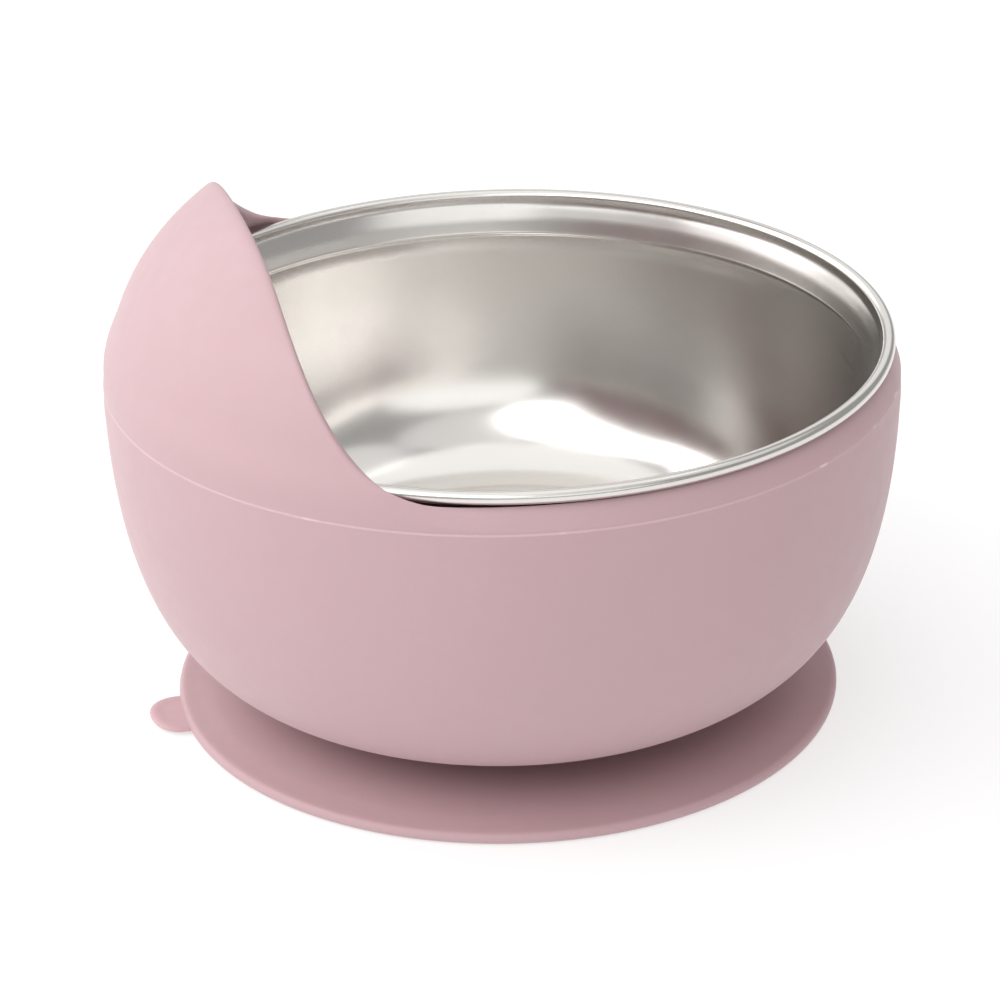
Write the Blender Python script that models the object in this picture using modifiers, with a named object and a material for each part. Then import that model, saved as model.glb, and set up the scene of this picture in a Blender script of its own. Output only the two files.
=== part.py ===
"""Suction bowl for a toddler: a silicone outer bowl with a splash hood, standing on a wide suction
disc with a pull tab, and a drawn stainless-steel insert with a rolled rim that lifts out.

Frame: metres, +Z up. The origin is on the table under the centre of the bowl. The hood and the pull
tab are towards +Y, the low side that faces the child is towards -Y. Symmetric about the plane X = 0.
"""

import math

import bmesh
import bpy

MM = 0.001

# ---- driving dimensions, in millimetres ----
SEGMENTS = 48  # facets round each turned piece
GAP = 0.3  # between neighbouring pieces

# outer surface of the silicone bowl, a turned form
WIDEST_Z = 54.2  # height of the widest circle
ARC_CENTRE_R = 24.95  # above it the section is an arc of ARC_R about (ARC_CENTRE_R, WIDEST_Z)
ARC_R = 40.0
BELLY_R = 65.0  # below it the section is a superellipse
BELLY_TOP_Z = 60.55
BELLY_H = 54.45
BELLY_POWER_R = 0.33
BELLY_POWER_Z = 0.87
WALL = 3.0
LIP_TOP_Z = 61.5  # where the insert's rolled rim rests
LIP_INNER_R = 61.75
FLOOR_Z = 15.3  # inside floor of the silicone bowl

# the free edge, as the side view shows it: a hyperbola between the level lip and a leaning line
CUT_LEVEL_Z = 61.55
CUT_LINE_Y = 39.3  # the leaning line passes through (CUT_LINE_Y, CUT_LINE_Z)
CUT_LINE_Z = 79.7
CUT_LEAN = 0.354  # millimetres forward for each millimetre up
CUT_ROUND = 11.0  # how wide the corner between them is
HOOD_FOOT_Z = LIP_TOP_Z + GAP
HOOD_END_Z = HOOD_FOOT_Z + 0.8  # the hood's two ends run out at this height
HOOD_TOP_Z = 91.6
HOOD_WALL = 2.6
HOOD_FLARE = 0.5  # the hood's foot stands out this much, to clear the insert's rim

# neck and suction disc
NECK_R = 24.0
NECK_FOOT_Z = 3.1
DISC_R = 55.7
DISC_EDGE = 2.0  # thickness at the edge
SEAL_IN_R = 50.0  # the flat sealing ring reaches from here out to the edge

# pull tab
TAB_ROOT_Y = 56.1
TAB_TIP_Y = 61.2
TAB_HALF_WIDTH = 6.9
TAB_THICK = 1.0
TAB_Z = 0.3  # underside

# stainless-steel insert
INSERT_Y = -0.7  # the insert sits this much towards the low side
STEEL = 0.55  # sheet thickness
RIM_R = 61.65  # circle through the middle of the rolled rim
RIM_Z = 63.45
RIM_ROLL = 1.5  # radius of the roll
STEP_Z = 57.3  # the stacking shoulder below the rim
STEP_H = 1.5
WALL_TOP_R = 59.2
CORNER_R0 = 43.4  # the floor ends and the rounded corner begins
CORNER_Z0 = 17.1
CORNER_POWER_Z = 2.4
PANEL_R = 42.0  # stamped floor panel, a little lower than the floor round it
PANEL_Z = 16.5

# where the moving pieces turn or slide, in millimetres
HOOD_AXIS = (0.0, 63.5, 61.6)  # along X
TAB_AXIS = (0.0, TAB_ROOT_Y, TAB_Z + TAB_THICK)  # along X


def outer_radius(z):
    if z >= WIDEST_Z:
        return ARC_CENTRE_R + math.sqrt(max(ARC_R**2 - (z - WIDEST_Z) ** 2, 0.0))
    c = min(max((BELLY_TOP_Z - z) / BELLY_H, 0.0), 1.0) ** (1 / BELLY_POWER_Z)
    return BELLY_R * math.sin(math.acos(c)) ** BELLY_POWER_R


def arc(cr, cz, r, start, end, count):
    """Points on an arc, angles in degrees from the outward direction."""
    turn = [math.radians(start + (end - start) * i / (count - 1)) for i in range(count)]
    return [(cr + r * math.cos(t), cz + r * math.sin(t)) for t in turn]


def spread(low, high, count):
    return [low + (high - low) * i / (count - 1) for i in range(count)]


def material(name, colour, roughness, metallic=0.0):
    made = bpy.data.materials.new(name)
    made.use_nodes = True
    shader = made.node_tree.nodes["Principled BSDF"]
    shader.inputs["Base Color"].default_value = (*colour, 1.0)
    shader.inputs["Roughness"].default_value = roughness
    shader.inputs["Metallic"].default_value = metallic
    made.diffuse_color = (*colour, 1.0)
    return made


def link(obj, collection, mat=None):
    collection.objects.link(obj)
    if mat:
        obj.data.materials.append(mat)
    return obj


def turned(name, profile, collection, mat, closed=False, location=(0, 0, 0)):
    """A piece turned about its own Z axis from a profile of (radius, height) in millimetres, which
    runs up the inside and down the outside. A closed profile makes a ring."""
    mesh = bpy.data.meshes.new(name)
    count = len(profile)
    edges = [(i, i + 1) for i in range(count - 1)]
    if closed:
        edges.append((count - 1, 0))
    mesh.from_pydata([(r * MM, 0.0, z * MM) for r, z in profile], edges, [])
    obj = link(bpy.data.objects.new(name, mesh), collection, mat)
    obj.location = [v * MM for v in location]
    screw = obj.modifiers.new("turn", "SCREW")
    screw.axis = "Z"
    screw.angle = 2 * math.pi
    screw.screw_offset = 0.0
    screw.steps = SEGMENTS
    screw.render_steps = SEGMENTS
    screw.use_merge_vertices = True
    screw.merge_threshold = 0.00001
    screw.use_smooth_shade = True
    return obj


def silicone_bowl_profile():
    """Inner floor, inner wall, lip, outer side, underside and neck."""
    inner_corner_r = 46.0
    profile = [(0.0, FLOOR_Z), (inner_corner_r - 8.0, FLOOR_Z)]
    # rounded inner corner up to the inner wall
    wall_foot_z = 34.0
    wall_foot_r = outer_radius(wall_foot_z) - WALL
    for t in spread(0.12, 0.93, 6):
        a = t * math.pi / 2
        profile.append(
            (
                inner_corner_r - 8.0 + (wall_foot_r - inner_corner_r + 8.0) * math.sin(a) ** 0.8,
                FLOOR_Z + (wall_foot_z - FLOOR_Z) * (1 - math.cos(a)) ** 0.9,
            )
        )
    for z in spread(wall_foot_z, 50.0, 3):
        profile.append((outer_radius(z) - WALL, z))
    profile.append((LIP_INNER_R + 0.15, 54.0))
    profile += [(LIP_INNER_R, 58.0), (LIP_INNER_R, LIP_TOP_Z - 0.3), (LIP_INNER_R + 0.3, LIP_TOP_Z)]
    outer = outer_radius(LIP_TOP_Z - 1.0)
    profile += [(outer - 1.15, LIP_TOP_Z), (outer - 0.4, LIP_TOP_Z - 0.3), (outer - 0.05, LIP_TOP_Z - 1.0)]
    for z in (58.3, 54.2, 48.0, 40.0, 32.0, 25.0, 19.0, 14.5, 11.0, 8.8, 7.6, 7.0):
        profile.append((outer_radius(z), z))
    # flat underside, fillet and neck
    profile += [(NECK_R + 3.2, 6.4), (NECK_R + 0.9, 6.0), (NECK_R + 0.2, 5.3), (NECK_R, 4.6)]
    profile += [(NECK_R, NECK_FOOT_Z), (NECK_R - 1.2, NECK_FOOT_Z), (NECK_R - 8.0, 3.9), (0.0, 4.2)]
    return profile


def insert_profile():
    """The drawn steel bowl with its panel, rounded corner, stacking shoulder and rolled rim."""

    def corner(z, offset):
        f = ((STEP_Z - z) / (STEP_Z - CORNER_Z0)) ** CORNER_POWER_Z
        return CORNER_R0 + (WALL_TOP_R - CORNER_R0) * math.sqrt(max(1 - f, 0.0)) + offset

    heights = (17.25, 17.9, 19.4, 22.0, 26.0, 31.0, 38.0, 47.0, STEP_Z)
    inside = [(0.0, PANEL_Z), (PANEL_R - 0.6, PANEL_Z), (PANEL_R + 0.4, PANEL_Z + 0.5), (CORNER_R0, CORNER_Z0)]
    inside += [(corner(z, 0.0), z) for z in heights]
    roll_in_r = RIM_R - RIM_ROLL
    inside += [(roll_in_r, STEP_Z + STEP_H)]
    roll = arc(RIM_R, RIM_Z, RIM_ROLL, 180, -100, 13)
    under = arc(RIM_R, RIM_Z, RIM_ROLL - STEEL, -100, 180, 8)
    outside = [(roll_in_r + STEEL, STEP_Z + STEP_H - 0.1)]
    # The sheet's other side: points moved out square to the wall.
    path = inside[:-1][::-1]
    for i, (r, z) in enumerate(path):
        before = path[max(i - 1, 0)]
        after = path[min(i + 1, len(path) - 1)]
        dr, dz = after[0] - before[0], after[1] - before[1]
        length = math.hypot(dr, dz)
        outside.append((max(r - dz / length * STEEL, 0.0), z + dr / length * STEEL))
    outside[-1] = (0.0, PANEL_Z - STEEL)
    return inside + roll + under + outside


def hood_profile():
    """A ring of the hood's section, closed, before the side-view cut."""

    def outer(z):
        foot = max(0.0, 1.0 - abs(z - 62.8) / 5.5)
        return outer_radius(z) + HOOD_FLARE * foot * foot * (3 - 2 * foot)

    groove_r = RIM_R + RIM_ROLL - 0.05  # the insert stands forward, so its rim clears this by GAP or more
    inner = [(groove_r, HOOD_FOOT_Z), (groove_r, 64.3), (groove_r - 0.9, 65.35), (outer(67.6) - HOOD_WALL + 0.2, 67.2)]
    for z in (70.0, 73.5, 77.0, 80.5, 83.5, 86.0, 88.0):
        slope = math.asin((z - WIDEST_Z) / ARC_R)
        inner.append(
            (
                ARC_CENTRE_R + (ARC_R - HOOD_WALL) * math.cos(slope),
                WIDEST_Z + (ARC_R - HOOD_WALL) * math.sin(slope),
            )
        )
    top_slope = math.asin((HOOD_TOP_Z - WIDEST_Z) / ARC_R)
    inner.append(
        (
            ARC_CENTRE_R + (ARC_R - HOOD_WALL) * math.cos(top_slope),
            WIDEST_Z + (ARC_R - HOOD_WALL) * math.sin(top_slope),
        )
    )
    side = [(outer(z), z) for z in (HOOD_TOP_Z, 90.0, 88.0, 85.5, 82.5, 79.0, 75.5, 71.5, 67.5, 64.5, HOOD_FOOT_Z)]
    return inner + side


def edge_y(z):
    """Where the free edge is in the side view, at height z."""
    return CUT_LINE_Y + CUT_LEAN * (z - CUT_LINE_Z) - CUT_ROUND / (z - CUT_LEVEL_Z)


def side_cutter(name, collection):
    """A block as wide as the bowl, whose back face is the free edge's curve in the side view."""
    steps = 22
    heights = [HOOD_END_Z + (97.0 - HOOD_END_Z) * (i / steps) ** 2.2 for i in range(steps + 1)]
    outline = [(edge_y(heights[0]), 50.0)] + [(edge_y(z), z) for z in heights] + [(-90.0, 97.0), (-90.0, 50.0)]
    shape = bmesh.new()
    corners = [shape.verts.new((-90 * MM, y * MM, z * MM)) for y, z in outline]
    face = shape.faces.new(corners)
    grown = bmesh.ops.extrude_face_region(shape, geom=[face])
    moved = [v for v in grown["geom"] if isinstance(v, bmesh.types.BMVert)]
    bmesh.ops.translate(shape, verts=moved, vec=(180 * MM, 0, 0))
    bmesh.ops.recalc_face_normals(shape, faces=shape.faces)
    mesh = bpy.data.meshes.new(name)
    shape.to_mesh(mesh)
    shape.free()
    obj = link(bpy.data.objects.new(name, mesh), collection)
    obj.hide_render = True
    obj.display_type = "WIRE"
    return obj


def suction_disc_profile():
    """A ring: top from the neck out, the rounded edge, the sealing ring and the shallow cavity."""
    edge = DISC_EDGE / 2
    inner = NECK_R + GAP
    profile = [(inner, 3.3), (34.0, 3.2), (44.0, 2.8), (50.5, 2.25), (DISC_R - 1.6, DISC_EDGE)]
    profile += arc(DISC_R - edge, edge, edge, 65, -65, 5)
    profile += [(DISC_R - 1.2, 0.0), (SEAL_IN_R, 0.0), (SEAL_IN_R - 4.0, 0.75), (38.0, 1.3), (inner, 1.5)]
    return profile


def pull_tab(name, collection, mat):
    """A flat tongue: half an ellipse past the disc's edge, with a straight root on the hinge line."""
    curve = bpy.data.curves.new(name, "CURVE")
    curve.dimensions = "2D"
    curve.fill_mode = "BOTH"
    curve.extrude = TAB_THICK / 2 * MM
    spline = curve.splines.new("POLY")
    count = 17
    reach = TAB_TIP_Y - TAB_ROOT_Y
    points = []
    for i in range(count):
        a = math.pi * i / (count - 1)
        points.append((TAB_HALF_WIDTH * math.cos(a), reach * math.sin(a) ** 0.85 if 0 < i < count - 1 else 0.0))
    spline.points.add(count - 1)
    for point, (x, y) in zip(spline.points, points):
        point.co = (x * MM, y * MM, 0.0, 1.0)
    spline.use_cyclic_u = True
    obj = link(bpy.data.objects.new(name, curve), collection, mat)
    return obj


def hinge(name, collection, position):
    empty = bpy.data.objects.new(name, None)
    empty.empty_display_size = 0.01
    empty.location = [v * MM for v in position]
    collection.objects.link(empty)
    return empty


def main():
    for obj in list(bpy.data.objects):
        bpy.data.objects.remove(obj, do_unlink=True)
    scene = bpy.context.scene
    scene.unit_settings.system = "METRIC"
    scene.unit_settings.scale_length = 1.0

    parts = bpy.data.collections.new("suction_bowl")
    cutters = bpy.data.collections.new("cutters")
    scene.collection.children.link(parts)
    scene.collection.children.link(cutters)

    pink = (0.74, 0.52, 0.545)
    silicone = material("silicone", pink, 0.62)
    hood_silicone = material("hood_silicone", pink, 0.62)
    disc_silicone = material("disc_silicone", pink, 0.6)
    tab_silicone = material("tab_silicone", pink, 0.6)
    steel = material("stainless_steel", (0.72, 0.7, 0.67), 0.26, 1.0)

    turned("suction_disc", suction_disc_profile(), parts, disc_silicone, closed=True)
    turned("outer_bowl", silicone_bowl_profile(), parts, silicone)
    turned("steel_insert", insert_profile(), parts, steel, location=(0, INSERT_Y, 0))

    hood_axis = hinge("hood_axis", parts, HOOD_AXIS)
    hood = turned("splash_hood", hood_profile(), parts, hood_silicone, closed=True)
    hood.parent = hood_axis
    hood.location = [-v * MM for v in HOOD_AXIS]
    cut = hood.modifiers.new("side_view_cut", "BOOLEAN")
    cut.operation = "DIFFERENCE"
    cut.solver = "EXACT"
    cut.object = side_cutter("hood_cutter", cutters)

    tab_axis = hinge("tab_axis", parts, TAB_AXIS)
    tab = pull_tab("pull_tab", parts, tab_silicone)
    tab.parent = tab_axis
    tab.location = (0.0, 0.0, -TAB_THICK / 2 * MM)


main()
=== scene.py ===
import math

import bpy
import numpy as np
from mathutils import Matrix, Vector


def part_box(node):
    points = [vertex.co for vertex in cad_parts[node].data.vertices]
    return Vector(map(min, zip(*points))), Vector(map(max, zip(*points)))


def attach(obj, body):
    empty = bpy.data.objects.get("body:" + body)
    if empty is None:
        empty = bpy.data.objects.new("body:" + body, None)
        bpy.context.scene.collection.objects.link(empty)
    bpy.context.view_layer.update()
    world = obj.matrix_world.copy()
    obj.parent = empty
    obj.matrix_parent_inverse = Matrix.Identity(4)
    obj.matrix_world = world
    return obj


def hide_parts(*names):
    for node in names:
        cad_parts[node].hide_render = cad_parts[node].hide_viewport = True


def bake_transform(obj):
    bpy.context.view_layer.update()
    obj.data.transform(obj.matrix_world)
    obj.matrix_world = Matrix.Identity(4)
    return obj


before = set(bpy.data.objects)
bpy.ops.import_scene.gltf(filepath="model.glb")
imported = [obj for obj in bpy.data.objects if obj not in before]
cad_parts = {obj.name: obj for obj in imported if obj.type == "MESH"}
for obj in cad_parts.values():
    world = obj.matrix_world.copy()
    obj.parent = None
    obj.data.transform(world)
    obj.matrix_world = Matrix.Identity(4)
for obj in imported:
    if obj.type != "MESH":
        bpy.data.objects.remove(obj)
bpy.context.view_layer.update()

MM = 0.001

# ---------------------------------------------------------------- sizes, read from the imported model
disc_lo, disc_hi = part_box("suction_disc")
shell_lo, shell_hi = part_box("outer_bowl")
steel_lo, steel_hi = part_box("steel_insert")
hood_lo, hood_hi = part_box("splash_hood")
tab_lo, tab_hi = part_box("pull_tab")

INSERT_Y = (steel_lo.y + steel_hi.y) / 2 / MM
RIM_TOP = steel_hi.z / MM
RIM_OUT = (steel_hi.x - steel_lo.x) / 2 / MM
STEEL_FOOT = steel_lo.z / MM
DISC_R = (disc_hi.x - disc_lo.x) / 2 / MM
LIP_TOP = shell_hi.z / MM
TAB_TIP = tab_hi.y / MM
TAB_HALF = (tab_hi.x - tab_lo.x) / 2 / MM
TAB_LOW, TAB_HIGH = tab_lo.z / MM, tab_hi.z / MM
TAB_ROOT = tab_lo.y / MM

# the turned form of the silicone bowl, as in the CAD
WIDEST_Z, ARC_C, ARC_R = 54.2, 24.95, 40.0
BELLY_R, BELLY_TOP, BELLY_H, POW_R, POW_Z = 65.0, 60.55, 54.45, 0.33, 0.87
WALL, HOOD_WALL, FLARE = 3.0, 2.6, 0.5
LIP_IN, FLOOR_Z = 61.75, 15.3
GROOVE_R = RIM_OUT - 0.05
SEAM_Z = 58.7


def smooth(t):
    t = np.clip(t, 0.0, 1.0)
    return t * t * (3 - 2 * t)


def closing(z):
    """How much further in than the CAD's arc the hood leans towards its peak."""
    return 0.0065 * max(z - 72.7, 0.0) ** 2


def outer_radius(z, phi=0.0):
    """Radius of the bowl's outside at height z, phi radians round from the middle of the hood."""
    if z >= WIDEST_Z:
        r = ARC_C + math.sqrt(max(ARC_R**2 - (z - WIDEST_Z) ** 2, 0.0))
    else:
        c = min(max((BELLY_TOP - z) / BELLY_H, 0.0), 1.0) ** (1 / POW_Z)
        r = BELLY_R * math.sin(math.acos(c)) ** POW_R
    r -= closing(z)
    foot = max(0.0, 1.0 - abs(z - 62.8) / 5.5)
    return r + FLARE * foot * foot * (3 - 2 * foot) * float(smooth((95 - math.degrees(abs(phi))) / 40))


def inner_radius(z, phi=0.0):
    """Radius of the inside face above the ledge that carries the insert's rim."""
    slope = math.asin(min(1.0, max(z - WIDEST_Z, 0.0) / (ARC_R - HOOD_WALL)))
    arc = ARC_C + (ARC_R - HOOD_WALL) * math.cos(slope) - closing(z)
    t = float(smooth((z - 64.2) / 3.2))
    return GROOVE_R * (1 - t) + arc * t


def edge_y(z):
    """The free edge in the side view: level with the lip, then rising ever more steeply to the peak."""
    bow = 0.5 * math.exp(-(((z - 78.0) / 7.0) ** 2)) - 0.44 * float(smooth((z - 82.8) / 6.0))
    return 21.4 + 6.24 * math.log(max(z - 61.6, 1e-9)) + bow


def twist(z):
    """The soft hood doesn't stand quite straight: it is turned a little, more towards its peak."""
    return math.radians(0.17) * (z - 72.3)


def edge_height(phi, radius):
    """Height at which the edge crosses a face whose radius is radius(z), phi round from the hood."""
    low, high = 61.6 + 1e-7, 93.5
    for _ in range(48):
        mid = (low + high) / 2
        if edge_y(mid) - radius(mid) * math.cos(phi - twist(mid)) > 0:
            high = mid
        else:
            low = mid
    return (low + high) / 2


def bezier(a, b, c, count):
    t = np.linspace(0, 1, count)[:, None]
    a, b, c = (np.array(p, float) for p in (a, b, c))
    return (1 - t) ** 2 * a + 2 * t * (1 - t) * b + t**2 * c


def path(*points):
    return np.array(points, float)


def rounded(points, sharp=0.0, steps=8, share=0.42):
    """A profile whose corners are rounded off, each by its share of the shorter side."""
    p = np.array(points, float)
    out = [p[:1]]
    for i in range(1, len(p) - 1):
        back, on = p[i - 1] - p[i], p[i + 1] - p[i]
        r = share * min(np.linalg.norm(back), np.linalg.norm(on))
        a = p[i] + back / np.linalg.norm(back) * r
        b = p[i] + on / np.linalg.norm(on) * r
        out.append(bezier(a, p[i], b, steps))
    out.append(p[-1:])
    return np.vstack(out)


def resample(points, count, power=1.0, towards_end=False):
    """The same line with count points, closer together towards its start or its end."""
    p = np.array(points, float)
    s = np.concatenate([[0], np.cumsum(np.linalg.norm(np.diff(p, axis=0), axis=1))])
    t = np.linspace(0, 1, count)
    t = (1 - (1 - t) ** power if towards_end else t**power) * s[-1]
    return np.stack([np.interp(t, s, p[:, 0]), np.interp(t, s, p[:, 1])], -1)


# ---------------------------------------------------------------- mesh builders
def mesh_object(name, verts, faces, smooth_shade=True):
    mesh = bpy.data.meshes.new(name)
    mesh.from_pydata([tuple(v) for v in verts], [], faces)
    mesh.validate()
    mesh.update()
    if smooth_shade:
        mesh.shade_smooth()
    obj = bpy.data.objects.new(name, mesh)
    bpy.context.scene.collection.objects.link(obj)
    return obj


def loft(name, rings, centre=(0.0, 0.0)):
    """A closed turned form. rings[j] is the section at turn j as (radius, height) rows in
    millimetres, from the axis underneath round the outside to the axis inside."""
    rings = np.array(rings, float)
    turns, count = rings.shape[:2]
    theta = np.arange(turns) * 2 * math.pi / turns
    body = rings[:, 1:-1]
    x = body[:, :, 0] * np.cos(theta)[:, None] + centre[0]
    y = body[:, :, 0] * np.sin(theta)[:, None] + centre[1]
    verts = np.stack([x, y, body[:, :, 1]], -1).reshape(-1, 3)
    poles = np.array([[centre[0], centre[1], rings[0, 0, 1]], [centre[0], centre[1], rings[0, -1, 1]]])
    n = count - 2
    faces = []
    foot, top = turns * n, turns * n + 1
    for j in range(turns):
        k = (j + 1) % turns
        a, b = j * n, k * n
        faces.append((foot, b, a))
        faces.append((top, a + n - 1, b + n - 1))
        faces += [(a + i, b + i, b + i + 1, a + i + 1) for i in range(n - 1)]
    return mesh_object(name, np.vstack([verts, poles]) * MM, faces)


# ---------------------------------------------------------------- the silicone bowl and hood, one moulding
def bowl_section(phi, turn):
    """(radius, height) rows from the axis underneath, up the outside, over the edge and down inside."""

    def out(z):
        return outer_radius(z, phi)

    def inn(z):
        return inner_radius(z, phi)

    zo, zi = edge_height(phi, out), edge_height(phi, inn)
    rows = [path((0, 6.4), (12, 6.4), (22, 6.4), (27.5, 6.4), (31.0, 6.5), (34.5, 6.74))]
    t = np.linspace(0.20, 1.47, 46)
    rows.append(np.stack([BELLY_R * np.sin(t) ** POW_R, BELLY_TOP - BELLY_H * np.cos(t) ** POW_Z], -1))
    heights = list(np.linspace(54.9, 58.1, 6))
    near = [SEAM_Z + d for d in (-0.5, -0.36, -0.26, -0.18, -0.12, -0.06, 0.0, 0.05, 0.10, 0.15)]
    # The parting line of the mould: a fine raised line with a few small flash nibs on it.
    nib = sum(
        math.exp(-(((turn - at + math.pi) % (2 * math.pi) - math.pi) * 65 / width) ** 2)
        for at, width in NIBS
    )
    step = 0.15
    for z in heights + near:
        ridge = math.exp(-(((z - SEAM_Z + 0.06) / 0.14) ** 2))
        below = 1.0 / (1.0 + math.exp((z - SEAM_Z) / 0.045))
        rows.append(path((out(z) + ridge * (0.03 + 0.14 * nib) + step * below * math.exp((z - SEAM_Z) / 3.0), z)))
    # outer face up to the edge: a full round on the level lip, a thin rounded edge on the hood
    wide = float(smooth((zo - 62.6) / 4.0))
    do = min(2.62 + (1.25 - 2.62) * wide, zo - 58.9)
    di = min(1.2, 0.5 * (zi - LIP_TOP))
    clear = float(smooth((zo - 61.8) / 1.2))
    slack = 0.6 * (1 - clear)
    mid = ((out(zo) + inn(zi)) / 2, (zo + zi) / 2)
    dip = 0.55 * math.exp(-(((math.degrees(abs(phi)) - 69.0) / 10.0) ** 2))
    tip = (mid[0] * clear + (out(zo) - 1.95) * (1 - clear), mid[1] + 0.04 + (0.70 - dip) * (1 - clear))
    rise = [(out(z), z) for z in np.linspace(58.88, zo - do, 40)]
    over = bezier((out(zo - do), zo - do), (out(zo) - 0.75 * (1 - wide), zo + 0.1 * (1 - wide)), tip, 16)[1:]
    rows.append(resample(np.vstack([rise, over]), 56, 1.7, True))
    over = bezier(tip, (inn(zi) - slack, zi), (inn(zi - di) - slack, zi - di), 12)
    fall = [(inn(z) - slack, z) for z in np.linspace(zi - di, LIP_TOP + 0.02, 40)[1:]]
    rows.append(resample(np.vstack([over, fall]), 54, 1.7)[1:])
    # the ledge under the insert's rim and the inside wall and floor
    ledge = rounded([(GROOVE_R - slack, LIP_TOP + 0.01), (LIP_IN + 0.35, LIP_TOP), (LIP_IN, LIP_TOP - 0.35), (LIP_IN, 58.0)], steps=4)
    rows.append(ledge[1:])
    wall = [(LIP_IN + 0.12, 54.5)] + [(outer_radius(z) - WALL, z) for z in np.linspace(51, 35, 6)]
    foot = outer_radius(34.0) - WALL
    for a in np.linspace(0.93, 0.12, 9) * math.pi / 2:
        wall.append((38.0 + (foot - 38.0) * math.sin(a) ** 0.8, FLOOR_Z + (34.0 - FLOOR_Z) * (1 - math.cos(a)) ** 0.9))
    wall += [(37.0, FLOOR_Z + 0.02), (20.0, FLOOR_Z)]
    rows.append(np.array(wall))
    rows.append(path((0.0, FLOOR_Z)))
    return np.vstack(rows)


TURNS = 336
# the small nibs along the parting line: where (radians round, 0 is +X) and how wide (millimetres)
NIBS = [(math.radians(a), w) for a, w in ((159, 0.9), (178.6, 1.3), (-171.4, 1.0), (-159.0, 1.2), (-146.0, 0.8), (-96, 1.0), (-35, 1.2), (28, 0.9), (66, 1.1), (112, 0.8), (135.5, 1.0))]
rings = []
for j in range(TURNS):
    turn = 2 * math.pi * j / TURNS
    phi = (turn - math.pi / 2 + math.pi) % (2 * math.pi) - math.pi
    rings.append(bowl_section(phi, turn))
silicone_bowl = loft("silicone_bowl", rings)

# ---------------------------------------------------------------- suction disc with its neck
edge_r = 0.95
top = rounded(
    [(27.5, 3.42), (34.0, 3.2), (44.0, 2.8), (50.2, 2.30), (51.6, 2.14), (52.8, 2.02), (54.0, 1.97), (54.9, 1.93)],
    steps=6,
)
edge = np.array(
    [(DISC_R - edge_r + edge_r * math.cos(a), 0.98 + edge_r * math.sin(a)) for a in np.radians(np.linspace(72, -75, 15))]
)
neck = rounded([(0.0, 7.0), (26.6, 7.0), (26.9, 6.55), (24.6, 6.1), (24.0, 5.2), (24.05, 4.3), (24.9, 3.62), (27.5, 3.42)], steps=5)
under = rounded(
    [(DISC_R - 0.8, 0.0), (53.0, 0.0), (50.3, 0.0), (46.0, 0.75), (38.0, 1.3), (29.0, 1.6), (24.0, 2.3), (17.0, 3.25), (0.0, 3.7)],
    steps=6,
)
profile = np.vstack([under[::-1], edge[::-1], top[::-1][:-1], neck[::-1]])
silicone_disc = loft("silicone_disc", [profile] * 288)


# ---------------------------------------------------------------- pull tab
def make_tab():
    """A thin tongue with a rounded edge and a shallow dish for the fingertip. Its root is inside the
    disc's edge."""
    around, across = 120, 22
    middle = TAB_ROOT
    z_mid, half = (TAB_LOW + TAB_HIGH) / 2, (TAB_HIGH - TAB_LOW) / 2
    verts = [(0.0, middle, z_mid + half - 0.13), (0.0, middle, z_mid - half)]
    s_rows = 1 - (1 - np.linspace(0, 1, across + 1)[1:]) ** 1.7
    ring = []
    for i in range(around):
        a = 2 * math.pi * i / around
        c, s = math.cos(a), math.sin(a)
        x = TAB_HALF * math.copysign(abs(c) ** 0.95, c) * (0.74 if c > 0 else 1.0)
        if s >= 0:
            y = (TAB_TIP - middle) * s**0.9
        else:
            y = -1.9 * abs(s) ** 0.5
            x *= 1.0 + 0.10 * abs(s)
        ring.append((x, y))
    for side in (1, -1):
        for s in s_rows if side == 1 else s_rows[:-1]:
            lift = half * math.sqrt(max(1 - s**9, 0.0))
            dish = 0.13 * float(1 - smooth((s - 0.5) / 0.36)) if side == 1 else 0.0
            verts += [(x * s, middle + y * s, z_mid + side * lift - dish) for x, y in ring]
    faces = []
    rows = across

    def at(side, k, i):
        i %= around
        if side == 1 or k == rows - 1:
            return 2 + k * around + i
        return 2 + rows * around + k * around + i

    for i in range(around):
        faces.append((0, at(1, 0, i), at(1, 0, i + 1)))
        faces.append((1, at(-1, 0, i + 1), at(-1, 0, i)))
        for k in range(rows - 1):
            faces.append((at(1, k, i), at(1, k + 1, i), at(1, k + 1, i + 1), at(1, k, i + 1)))
            faces.append((at(-1, k, i), at(-1, k, i + 1), at(-1, k + 1, i + 1), at(-1, k + 1, i)))
    return mesh_object("silicone_tab", np.array(verts) * MM, faces)


silicone_tab = make_tab()

# ---------------------------------------------------------------- stainless-steel insert
ROLL = 1.1
ROLL_R, ROLL_Z = RIM_OUT + 0.1 - ROLL, RIM_TOP - 0.25 - ROLL
SHEET = 0.5
floor_z = STEEL_FOOT + 0.55
t = np.linspace(0.0, math.pi / 2, 150)
wall_r = 41.4 + 17.8 * np.sin(t)
wall_z = 57.3 - (57.3 - floor_z) * np.cos(t) ** (2 / 2.4) + 0.13 * (wall_r - 41.4) * np.exp(-(wall_r - 41.4) / 3.5)
corner_wall = np.stack([wall_r, wall_z], -1)
crease = bezier((40.9, floor_z), (41.4, floor_z), corner_wall[4], 7)
floor_rows = np.array([(r, floor_z) for r in (0.0, 3, 8, 14, 20, 26, 32, 37, 39.5)])
shoulder = rounded(
    [(59.28, 56.4), (59.42, 57.05), (59.22, 57.4), (59.17, 57.65), (59.26, 57.9), (59.43, 58.5), (59.84, 60.0), (60.5, 61.7), (60.88, 62.6), (ROLL_R - ROLL, ROLL_Z)],
    steps=6, share=0.42,
)
roll = np.array([(ROLL_R + ROLL * math.cos(a), ROLL_Z + ROLL * math.sin(a)) for a in np.radians(np.linspace(178, -100, 42))])
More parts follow.
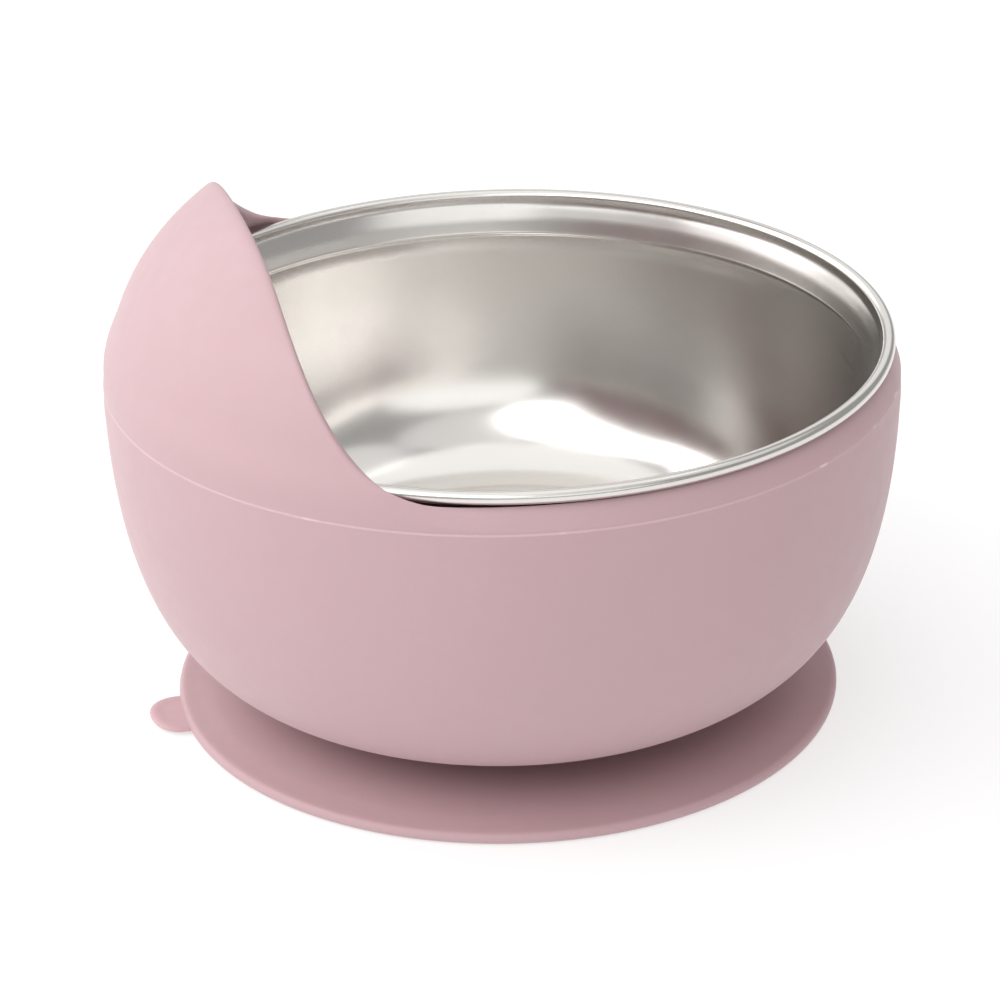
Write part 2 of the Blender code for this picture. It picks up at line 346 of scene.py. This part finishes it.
curl = np.array(
    [(ROLL_R + (ROLL - SHEET) * math.cos(a), ROLL_Z + (ROLL - SHEET) * math.sin(a)) for a in np.radians(np.linspace(-100, 176, 22))]
)
face = np.vstack([floor_rows, crease, corner_wall[5:-4], shoulder])
d = np.gradient(face, axis=0)
d /= np.linalg.norm(d, axis=1)[:, None]
back = face + np.stack([d[:, 1], -d[:, 0]], -1) * SHEET
back = back[::5][::-1]
back = back[(back[:, 1] < 61.5)]
back[-1] = (0.0, floor_z - SHEET)
steel_profile = np.vstack([face, roll, curl, back])[::-1]
steel_bowl = loft("steel_bowl", [steel_profile] * 300, centre=(0.0, INSERT_Y))


# ---------------------------------------------------------------- materials
def new_material(name):
    material = bpy.data.materials.new(name)
    material.use_nodes = True
    tree = material.node_tree
    shader = tree.nodes["Principled BSDF"]
    return material, tree, shader


def node(tree, kind, **inputs):
    made = tree.nodes.new(kind)
    for key, value in inputs.items():
        made.inputs[key.replace("_", " ")].default_value = value
    return made


def noise(tree, vector, scale, detail=3.0, rough=0.5):
    made = node(tree, "ShaderNodeTexNoise", Scale=scale, Detail=detail, Roughness=rough)
    tree.links.new(vector, made.inputs["Vector"])
    return made.outputs["Fac"]


def math_node(tree, operation, a, b=None):
    made = tree.nodes.new("ShaderNodeMath")
    made.operation = operation
    for i, v in enumerate((a, b)):
        if v is None:
            continue
        if isinstance(v, (int, float)):
            made.inputs[i].default_value = v
        else:
            tree.links.new(v, made.inputs[i])
    return made.outputs[0]


def map_range(tree, value, low, high, to_low, to_high):
    made = tree.nodes.new("ShaderNodeMapRange")
    made.interpolation_type = "SMOOTHSTEP"
    for key, v in (("From Min", low), ("From Max", high), ("To Min", to_low), ("To Max", to_high)):
        made.inputs[key].default_value = v
    tree.links.new(value, made.inputs["Value"])
    return made.outputs["Result"]


def mix_colour(tree, factor, a, b):
    made = tree.nodes.new("ShaderNodeMix")
    made.data_type = "RGBA"
    for socket, v in ((made.inputs[6], a), (made.inputs[7], b)):
        if isinstance(v, tuple):
            socket.default_value = (*v, 1.0)
        else:
            tree.links.new(v, socket)
    if isinstance(factor, float):
        made.inputs[0].default_value = factor
    else:
        tree.links.new(factor, made.inputs[0])
    return made.outputs[2]


def bump(tree, height, strength, distance, normal=None):
    made = node(tree, "ShaderNodeBump", Strength=strength, Distance=distance)
    tree.links.new(height, made.inputs["Height"])
    if normal is not None:
        tree.links.new(normal, made.inputs["Normal"])
    return made.outputs["Normal"]


PINK = (0.517, 0.350, 0.371)


def silicone_material(name, tint=1.0, seam=False):
    """Moulded platinum silicone: matte, with a powdery grain, faint cloudy tone, and a speck of lint
    here and there. With seam set, a pale painted highlight runs along the parting line."""
    material, tree, shader = new_material(name)
    where = tree.nodes.new("ShaderNodeTexCoord").outputs["Object"]
    base = tuple(c * tint for c in PINK)
    powder = noise(tree, where, 1500.0, 2.0, 0.7)
    cloudy = math_node(tree, "ADD", math_node(tree, "MULTIPLY", noise(tree, where, 38.0, 4.0, 0.55), 0.6), math_node(tree, "MULTIPLY", powder, 0.4))
    tone = mix_colour(tree, cloudy, tuple(c * 0.965 for c in base), tuple(min(1, c * 1.03) for c in base))
    cells = tree.nodes.new("ShaderNodeTexVoronoi")
    cells.inputs["Scale"].default_value = 120.0
    tree.links.new(where, cells.inputs["Vector"])
    speck = map_range(tree, cells.outputs["Distance"], 0.018, 0.03, 1.0, 0.0)
    chosen = math_node(tree, "GREATER_THAN", noise(tree, where, 90.0, 1.0), 0.66)
    lint = math_node(tree, "MULTIPLY", math_node(tree, "MULTIPLY", speck, chosen), 0.45)
    colour = mix_colour(tree, lint, tone, (0.9, 0.84, 0.84))
    if seam:
        # Painted highlight: a pale line of varying strength is painted along the parting line. It stands in for the
        # light that the raised seam catches.
        split = tree.nodes.new("ShaderNodeSeparateXYZ")
        tree.links.new(where, split.inputs[0])
        off = math_node(tree, "ABSOLUTE", math_node(tree, "SUBTRACT", split.outputs[2], (SEAM_Z - 0.03) * MM))
        line = map_range(tree, off, 0.00006, 0.00026, 1.0, 0.0)
        seam_highlight_strength = map_range(tree, noise(tree, where, 190.0, 1.0), 0.62, 0.70, 0.16, 0.62)
        colour = mix_colour(tree, math_node(tree, "MULTIPLY", line, seam_highlight_strength), colour, (0.86, 0.70, 0.72))
    tree.links.new(colour, shader.inputs["Base Color"])
    grain = noise(tree, where, 3200.0, 2.0, 0.6)
    soft = noise(tree, where, 420.0, 2.0, 0.5)
    normal = bump(tree, soft, 0.06, 0.0002)
    normal = bump(tree, grain, 0.24, 0.00006, normal)
    tree.links.new(normal, shader.inputs["Normal"])
    tree.links.new(map_range(tree, noise(tree, where, 260.0, 3.0), 0.3, 0.7, 0.50, 0.60), shader.inputs["Roughness"])
    shader.inputs["Specular IOR Level"].default_value = 0.42
    shader.inputs["Sheen Weight"].default_value = 0.16
    shader.inputs["Sheen Roughness"].default_value = 0.4
    shader.inputs["Sheen Tint"].default_value = (1.0, 0.93, 0.93, 1.0)
    shader.inputs["Subsurface Weight"].default_value = 0.08
    shader.inputs["Subsurface Radius"].default_value = (1.0, 0.45, 0.4)
    shader.inputs["Subsurface Scale"].default_value = 0.0018
    return material


def steel_material(name):
    """Stainless steel with two finishes, as a drawn bowl has: a satin wall and a polished bottom. Faint
    wiping marks and the slow waves of the pressing show in both."""
    material, tree, shader = new_material(name)
    where = tree.nodes.new("ShaderNodeTexCoord").outputs["Object"]
    split = tree.nodes.new("ShaderNodeSeparateXYZ")
    tree.links.new(where, split.inputs[0])
    x, y, z = split.outputs
    y = math_node(tree, "SUBTRACT", y, INSERT_Y * MM)
    turn = math_node(tree, "ARCTAN2", y, x)
    ring = tree.nodes.new("ShaderNodeCombineXYZ")
    tree.links.new(math_node(tree, "MULTIPLY", turn, 0.055), ring.inputs[0])
    tree.links.new(math_node(tree, "MULTIPLY", z, 1.3), ring.inputs[2])
    wiped = noise(tree, ring.outputs[0], 160.0, 3.0, 0.55)
    cloud = noise(tree, where, 45.0, 3.0, 0.5)
    tone = mix_colour(tree, cloud, (0.755, 0.731, 0.702), (0.795, 0.775, 0.750))
    satin = map_range(tree, z, 0.0315, 0.0375, 0.0, 1.0)
    grain = math_node(tree, "MULTIPLY", noise(tree, where, 2300.0, 2.0, 0.7), satin)
    tone = mix_colour(tree, math_node(tree, "MULTIPLY", grain, 0.30), tone, (0.60, 0.575, 0.55))
    brushed = tree.nodes.new("ShaderNodeCombineXYZ")
    tree.links.new(math_node(tree, "MULTIPLY", turn, 0.02), brushed.inputs[0])
    tree.links.new(z, brushed.inputs[2])
    fine = math_node(tree, "MULTIPLY", noise(tree, brushed.outputs[0], 1100.0, 3.0, 0.6), satin)
    tone = mix_colour(tree, math_node(tree, "MULTIPLY", fine, 0.22), tone, (0.64, 0.615, 0.59))
    tree.links.new(tone, shader.inputs["Base Color"])
    shader.inputs["Metallic"].default_value = 1.0
    rim = map_range(tree, z, 0.0605, 0.0632, 0.0, 1.0)
    rough = math_node(tree, "ADD", math_node(tree, "MULTIPLY", satin, 0.062), 0.197)
    rough = math_node(tree, "SUBTRACT", rough, math_node(tree, "MULTIPLY", rim, 0.03))
    marks = math_node(tree, "ADD", map_range(tree, wiped, 0.35, 0.65, -0.010, 0.006), map_range(tree, cloud, 0.35, 0.7, -0.008, 0.006))
    rough = math_node(tree, "ADD", rough, marks)
    tree.links.new(rough, shader.inputs["Roughness"])
    tree.links.new(bump(tree, noise(tree, where, 24.0, 1.0), 0.08, 0.0004), shader.inputs["Normal"])
    return material


def wear(obj, material):
    obj.data.materials.clear()
    obj.data.materials.append(material)


bowl_skin = silicone_material("silicone_bowl_skin", seam=True)
wear(silicone_bowl, bowl_skin)
wear(silicone_disc, silicone_material("silicone_disc_skin"))
# Painted light: the tab is the same silicone as the bowl, made 10% lighter to stand in for the extra light it catches.
wear(silicone_tab, silicone_material("silicone_tab_skin_painted_lighter", tint=1.1))
wear(steel_bowl, steel_material("satin_steel"))

# ---------------------------------------------------------------- what rides on what
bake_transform(silicone_bowl)
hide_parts("outer_bowl", "splash_hood")

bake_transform(silicone_disc)
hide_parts("suction_disc")

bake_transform(silicone_tab)
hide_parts("pull_tab")

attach(steel_bowl, "insert")
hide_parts("steel_insert")

# ---------------------------------------------------------------- floor, light, camera
scene = bpy.context.scene
scene.view_settings.view_transform = "Standard"
scene.view_settings.look = "None"
scene.view_settings.exposure = 0.0
scene.view_settings.gamma = 1.0

bpy.ops.mesh.primitive_plane_add(size=12.0, location=(0, 0, -0.0001))
floor = bpy.context.object
floor.name = "floor"
paint, tree, shader = new_material("pale_floor")
where = tree.nodes.new("ShaderNodeTexCoord").outputs["Object"]
tree.links.new(mix_colour(tree, noise(tree, where, 3.0), (0.45, 0.45, 0.45), (0.47, 0.47, 0.47)), shader.inputs["Base Color"])
shader.inputs["Roughness"].default_value = 0.9
shader.inputs["Specular IOR Level"].default_value = 0.2
# a lit table: it glows a little of its own, which keeps the shadow faint
shader.inputs["Emission Color"].default_value = (1.0, 1.0, 1.0, 1.0)
shader.inputs["Emission Strength"].default_value = 0.56
wear(floor, paint)

world = bpy.data.worlds.new("studio")
scene.world = world
world.use_nodes = True
world.node_tree.nodes["Background"].inputs["Color"].default_value = (1.0, 0.995, 0.985, 1.0)
world.node_tree.nodes["Background"].inputs["Strength"].default_value = 0.38

# View direction and distances of the camera, round the bowl's own axis.
VIEW_TURN = math.radians(168.3)  # where the camera stands, anticlockwise from +X
VIEW_UP = math.radians(25.70)
VIEW_ROLL = math.radians(-1.11)
VIEW_YAW = math.radians(-0.07)
DISTANCE = 0.61507
AIM_Z = 0.03343
FOCAL = 3697.3  # pixels of a 1000-pixel frame

toward = Vector((math.cos(VIEW_TURN) * math.cos(VIEW_UP), math.sin(VIEW_TURN) * math.cos(VIEW_UP), math.sin(VIEW_UP)))
right = Vector((-math.sin(VIEW_TURN), math.cos(VIEW_TURN), 0.0))
up = toward.cross(right)
ahead = -toward * math.cos(VIEW_YAW) + right * math.sin(VIEW_YAW)
side = right * math.cos(VIEW_YAW) + toward * math.sin(VIEW_YAW)
axis_x = side * math.cos(VIEW_ROLL) + up * math.sin(VIEW_ROLL)
axis_y = up * math.cos(VIEW_ROLL) - side * math.sin(VIEW_ROLL)
camera = bpy.data.objects.new("camera", bpy.data.cameras.new("camera"))
scene.collection.objects.link(camera)
camera.data.sensor_width = 36.0
camera.data.lens = 36.0 * FOCAL / 1000.0
camera.data.clip_start = 0.02
camera.data.clip_end = 30.0
placed = Matrix((axis_x, axis_y, -ahead)).transposed().to_4x4()
placed.translation = toward * DISTANCE + Vector((0, 0, AIM_Z))
camera.matrix_world = placed
scene.camera = camera


def softbox(name, turn, height, distance, wide, tall, glow):
    """A soft light of even brightness: turn is degrees clockwise, seen from above, from straight behind
    the bowl, and height is degrees above the table."""
    flat_away = Vector((-math.cos(VIEW_TURN), -math.sin(VIEW_TURN), 0.0))
    a, h = math.radians(turn), math.radians(height)
    ray = (flat_away * math.cos(a) + right * math.sin(a)) * math.cos(h) + Vector((0, 0, math.sin(h)))
    data = bpy.data.lights.new(name, "AREA")
    data.shape = "ELLIPSE"
    data.size, data.size_y = wide, tall
    data.energy = glow * math.pi * (math.pi / 4) * wide * tall
    lamp = bpy.data.objects.new(name, data)
    scene.collection.objects.link(lamp)
    lamp.location = ray * distance + Vector((0, 0, 0.04))
    lamp.rotation_mode = "QUATERNION"
    lamp.rotation_quaternion = (-ray).to_track_quat("-Z", "Y")
    return lamp


softbox("key", -136, 45, 1.3, 1.9, 0.9, 2.1)
softbox("left_behind", -70, 30, 1.3, 2.6, 1.2, 1.78)
softbox("behind", 4, 31, 1.4, 1.5, 0.8, 0.65)
softbox("front", 164, 22, 1.6, 1.6, 0.5, 0.95)
softbox("front_high", 164, 50, 1.5, 1.3, 0.9, 0.45)
softbox("right", 92, 50, 1.5, 1.2, 0.9, 0.5)
softbox("overhead", 0, 86, 1.6, 1.8, 1.8, 0.78)
